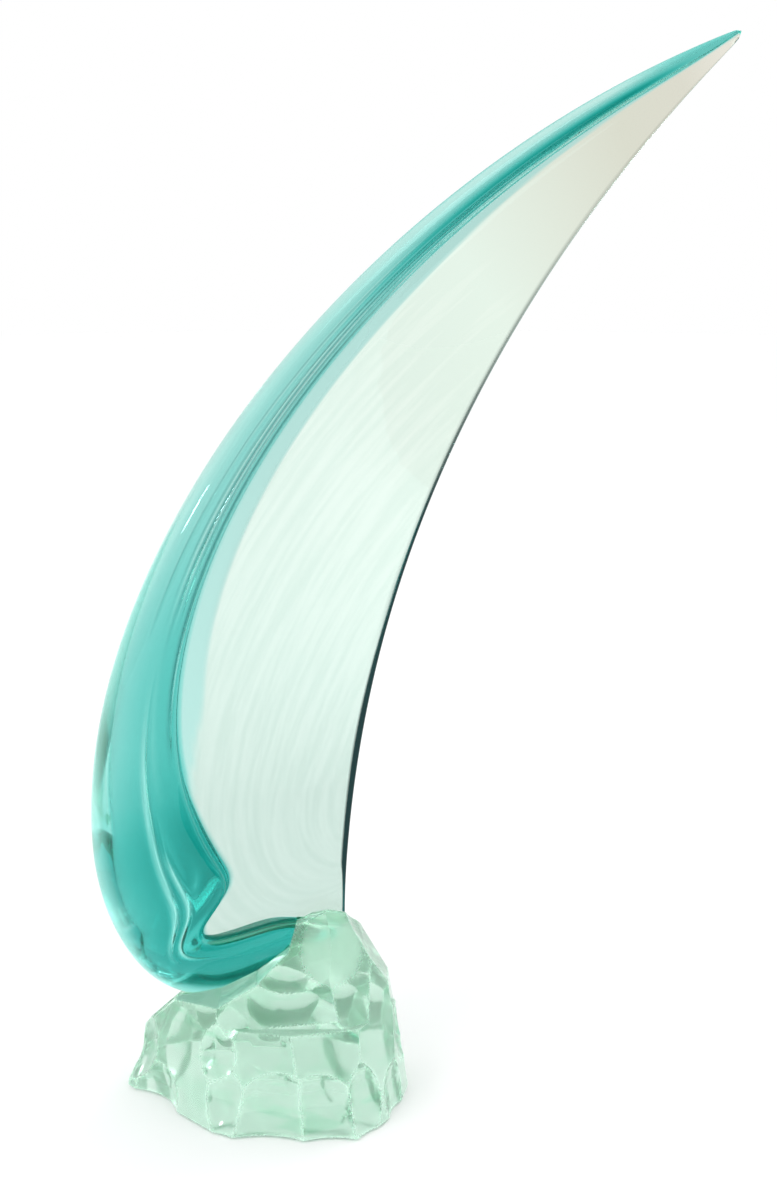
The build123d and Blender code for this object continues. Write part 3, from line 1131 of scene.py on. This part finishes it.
@dataclass
class RockBase:
    """The rock: the solid's own faces, with the small flakes that chiselling leaves.

    Sizes are in millimetres.

    Attributes:
        axis_x: place of the rock's axis.
        weld: how near two corners of the solid's faces must be to be one.
        grain: longest edge of the worked mesh.
        strikes: number of flakes.
        seed: start of the fixed row of places.
        strike_heights, strike_radii, strike_depths: least and most of each flake's sizes.
        wave_clear: how far from the wave the rock may be struck.
        strike_clear: how far from the wave a flake's middle must be.
        reach: how near the wave must be for a face to be glued.
        underside: height of the ground face, a hair above the bumpers' tops.
        ridge: least angle of a sharp ridge, in radians.
        lobe: middle of the frosted face in front of the toe.
        lobe_radius: how far its frost reaches.
        facing: how much a face must look to the viewer to be part of it.
        shed_from: how far behind the middle the seat begins to fall away.
        shed_slope: how steeply it falls.
        shed_above: height of the ridge under the seat.
        shed_clear: distances from the wave between which it begins to fall.
    """

    axis_x: float = -80.45
    weld: float = 0.02
    grain: float = 2.4
    strikes: int = 12
    seed: int = 11
    strike_heights: tuple[float, float] = (4, 112)
    strike_radii: tuple[float, float] = (34, 80)
    strike_depths: tuple[float, float] = (0.6, 1.6)
    wave_clear: float = 2.5
    strike_clear: float = 4.0
    reach: float = 1.5
    underside: float = 1.6
    ridge: float = 0.3
    lobe: tuple[float, float, float] = (-38.0, -30.0, 102.0)
    lobe_radius: float = 27.0
    facing: float = -0.3
    shed_from: float = 12.0
    shed_slope: float = 0.45
    shed_above: float = 58.0
    shed_clear: tuple[float, float] = (1.0, 6.0)

    def refine(self, bm: bmesh.types.BMesh) -> None:
        """Splits long edges until none is longer than the grain.

        Args:
            bm: closed mesh of the rock.
        """
        bmesh.ops.remove_doubles(bm, verts=bm.verts, dist=self.weld * MM)
        bmesh.ops.triangulate(bm, faces=bm.faces)
        for _ in range(9):
            long = [e for e in bm.edges if e.calc_length() > self.grain * MM]
            if not long:
                break
            bmesh.ops.subdivide_edges(bm, edges=long, cuts=1)
            bmesh.ops.triangulate(bm, faces=[f for f in bm.faces if len(f.verts) > 3])

    def strike(self, bm: bmesh.types.BMesh, wave: BVHTree) -> None:
        """Knocks shallow hollow flakes off the flanks, away from the wave and the ground face.

        Args:
            bm: worked mesh of the rock.
            wave: skin of the wave.
        """
        rng = random.Random(self.seed)
        skin = BVHTree.FromBMesh(bm)
        clear = self.wave_clear * MM
        free = [v for v in bm.verts if v.co.z > 2 * MM and wave.find_nearest(v.co)[3] > clear]
        for _ in range(self.strikes):
            turn, height = rng.uniform(0, 2 * math.pi), rng.uniform(*self.strike_heights)
            radius, depth = rng.uniform(*self.strike_radii) * MM, rng.uniform(*self.strike_depths) * MM
            out = Vector((math.cos(turn), math.sin(turn), 0))
            origin = Vector((self.axis_x, 0, height)) * MM + out * 0.2
            spot, normal, _, _ = skin.ray_cast(origin, -out)
            if spot is None or wave.find_nearest(spot)[3] < self.strike_clear * MM:
                continue
            middle = spot + normal * (radius - depth)
            for vert in free:
                away = vert.co - middle
                if away.length < radius:
                    vert.co = middle + away.normalized() * radius

    def shed(self, bm: bmesh.types.BMesh, wave: BVHTree) -> None:
        """Lets the seat fall away behind the wave.

        Args:
            bm: worked mesh of the rock.
            wave: skin of the wave.
        """
        for vert in bm.verts:
            behind = vert.co.y / MM - self.shed_from
            if vert.co.z > self.shed_above * MM and behind > 0:
                clear = ease(wave.find_nearest(vert.co)[3] / MM, *self.shed_clear)
                low = vert.co.z - self.shed_slope * behind * MM * clear
                vert.co.z = max(low, self.shed_above * MM)

    def mark(self, bm: bmesh.types.BMesh, wave: BVHTree) -> None:
        """Marks the sharp ridges and the frost along them, which also carries the rock's painted glow.

        Args:
            bm: worked mesh of the rock.
            wave: skin of the wave.
        """
        frost = bm.verts.layers.float.new(Mark.FROST_AND_GLOW.value)
        near = {vert: wave.find_nearest(vert.co)[3] < self.reach * MM for vert in bm.verts}
        for edge in bm.edges:
            angle = edge.calc_face_angle_signed(0.0)
            edge.smooth = abs(angle) < self.ridge
            if angle > self.ridge and not any(near[vert] for vert in edge.verts):
                for vert in edge.verts:
                    vert[frost] = 1.0
        for vert in bm.verts:
            if vert.normal.y < self.facing:
                away = (vert.co - Vector(self.lobe) * MM).length / MM
                vert[frost] = max(vert[frost], 1 - ease(away, 0.6 * self.lobe_radius, self.lobe_radius))
        for _ in range(2):
            spread = {}
            for vert in bm.verts:
                around = [edge.other_vert(vert)[frost] for edge in vert.link_edges]
                spread[vert] = 0.5 * vert[frost] + 0.5 * sum(around) / len(around)
            for vert, value in spread.items():
                vert[frost] = value

    def build(self, wave: bpy.types.Object) -> bpy.types.Object:
        """Works a copy of the rock's solid.

        Args:
            wave: skin of the wave that stands in the rock.

        Returns:
            The rock, at the origin.
        """
        bm = bmesh.new()
        bm.from_mesh(wave.data)
        skin = BVHTree.FromBMesh(bm)
        bm.clear()
        bm.from_mesh(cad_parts["rock_base"].data)
        bm.transform(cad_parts["rock_base"].matrix_world)
        self.refine(bm)
        self.strike(bm, skin)
        self.shed(bm, skin)
        for vert in bm.verts:
            vert.co.z = max(vert.co.z, self.underside * MM)
        self.mark(bm, skin)
        count = len(bm.faces)
        piece = mesh_piece("rock_skin", bm)
        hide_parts("rock_base")
        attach(piece, BODY)
        log.info("rock_skin: %d faces", count)
        return piece


@dataclass(frozen=True)
class Lamp:
    """Soft square lamp that looks at the part.

    Attributes:
        name: name of the lamp.
        place: where it hangs, in metres.
        size: length of its sides, in metres.
        watts: its power.
    """

    name: str
    place: tuple[float, float, float]
    size: float
    watts: float

    def hang(self, aim: Vector) -> None:
        """Puts the lamp in its place.

        Args:
            aim: point that it looks at, in metres.
        """
        data = bpy.data.lights.new(self.name, "AREA")
        data.size = self.size
        data.energy = self.watts
        lamp = bpy.data.objects.new(self.name, data)
        lamp.location = self.place
        lamp.rotation_euler = (aim - lamp.location).to_track_quat("-Z", "Y").to_euler()
        bpy.context.scene.collection.objects.link(lamp)


@dataclass(frozen=True)
class Studio:
    """Pale floor, soft light and the camera.

    Attributes:
        eye: place of the camera, in millimetres.
        aim: point that it looks at, in millimetres.
        lens: its focal length.
        sensor: height of its sensor.
        mirrored: light from the viewer's side, as the glass mirrors it.
        mirrored_range: how far round to the back that light reaches.
        bent: light from the viewer's side, as it comes through the glass.
        bent_range: how far round to the back that light reaches.
        floor_radius: size of the floor, in metres.
        lamps: the lamps.
        lamp_aim: point that they look at, in metres.
    """

    eye: tuple[float, float, float] = (-6.95, -1207.5, 588.0)
    aim: tuple[float, float, float] = (-6.95, 0.0, 299.25)
    lens: float = 66.0
    sensor: float = 36.0
    mirrored: Colour = (0.12, 0.14, 0.14)
    mirrored_range: tuple[float, float] = (0.02, 0.42)
    bent: Colour = (0.72, 0.82, 0.78)
    bent_range: tuple[float, float] = (0.0, 0.3)
    floor_radius: float = 4.0
    lamps: tuple[Lamp, ...] = (
        Lamp("key", (-0.9, -0.9, 1.5), 0.7, 4.0),
        Lamp("rear", (0.8, 1.1, 1.4), 0.6, 3.0),
        Lamp("spot_left", (-1.1, -0.7, 0.6), 0.1, 1.2),
    )
    lamp_aim: tuple[float, float, float] = (-0.05, 0.0, 0.3)

    def build(self) -> None:
        """Makes the whole stage."""
        self.make_camera()
        self.make_world()
        self.make_floor()
        for lamp in self.lamps:
            lamp.hang(Vector(self.lamp_aim))

    def make_camera(self) -> None:
        """Puts the camera at the photograph's place."""
        data = bpy.data.cameras.new("camera")
        data.sensor_fit = "VERTICAL"
        data.sensor_height = self.sensor
        data.lens = self.lens
        eye, aim = Vector(self.eye) * MM, Vector(self.aim) * MM
        camera = bpy.data.objects.new("camera", data)
        camera.location = eye
        camera.rotation_euler = (aim - eye).to_track_quat("-Z", "Y").to_euler()
        bpy.context.scene.collection.objects.link(camera)
        bpy.context.scene.camera = camera

    def make_world(self) -> None:
        """Fills the room with white, and with less light from the viewer's side in the glass."""
        world = bpy.data.worlds.new("studio")
        world.use_nodes = True
        graph = Graph(world.node_tree)
        way = graph.add("SeparateXYZ", {"Vector": graph.add("TexCoord").outputs["Generated"]})
        behind = graph.span(way.outputs["Y"], -1.0, 1.0)
        path = graph.add("LightPath")
        mirrored = graph.mix(graph.span(behind, *self.mirrored_range), self.mirrored, WHITE)
        bent = graph.mix(graph.span(behind, *self.bent_range), self.bent, WHITE)
        light = graph.mix(path.outputs["Is Glossy Ray"], WHITE, mirrored)
        light = graph.mix(path.outputs["Is Transmission Ray"], light, bent)
        graph.feed(world.node_tree.nodes["Background"], {"Color": light, "Strength": 1.0})
        bpy.context.scene.world = world

    def make_floor(self) -> None:
        """Lays the white floor."""
        bm = bmesh.new()
        bmesh.ops.create_circle(bm, cap_ends=True, segments=96, radius=self.floor_radius)
        floor = mesh_piece("floor", bm)
        material, graph, shader = new_material("floor_white")
        graph.feed(shader, {"Base Color": (*WHITE, 1), "Roughness": 1.0, "Specular IOR Level": 0.0})
        dress(floor, material)


def main() -> None:
    """Builds and dresses the whole part."""
    logging.basicConfig(level=logging.INFO)
    scene = bpy.context.scene
    scene.view_settings.view_transform = "Standard"
    scene.cycles.max_bounces = scene.cycles.transmission_bounces = scene.cycles.glossy_bounces = BOUNCES
    Studio().build()
    ripples = ripple_group()
    wave = GlassWave().build()
    rock = RockBase().build(wave)
    dress(wave, TealGlass().build(ripples))
    dress(rock, RockGlass().build(ripples))
    dress(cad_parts["bond_bed"], ClearResin().build(ripples))
    rubber = SoftRubber().build(ripples)
    for corner in CORNERS:
        dress(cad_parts[f"bumper_{corner}"], rubber)


if __name__ == "__main__":
    main()
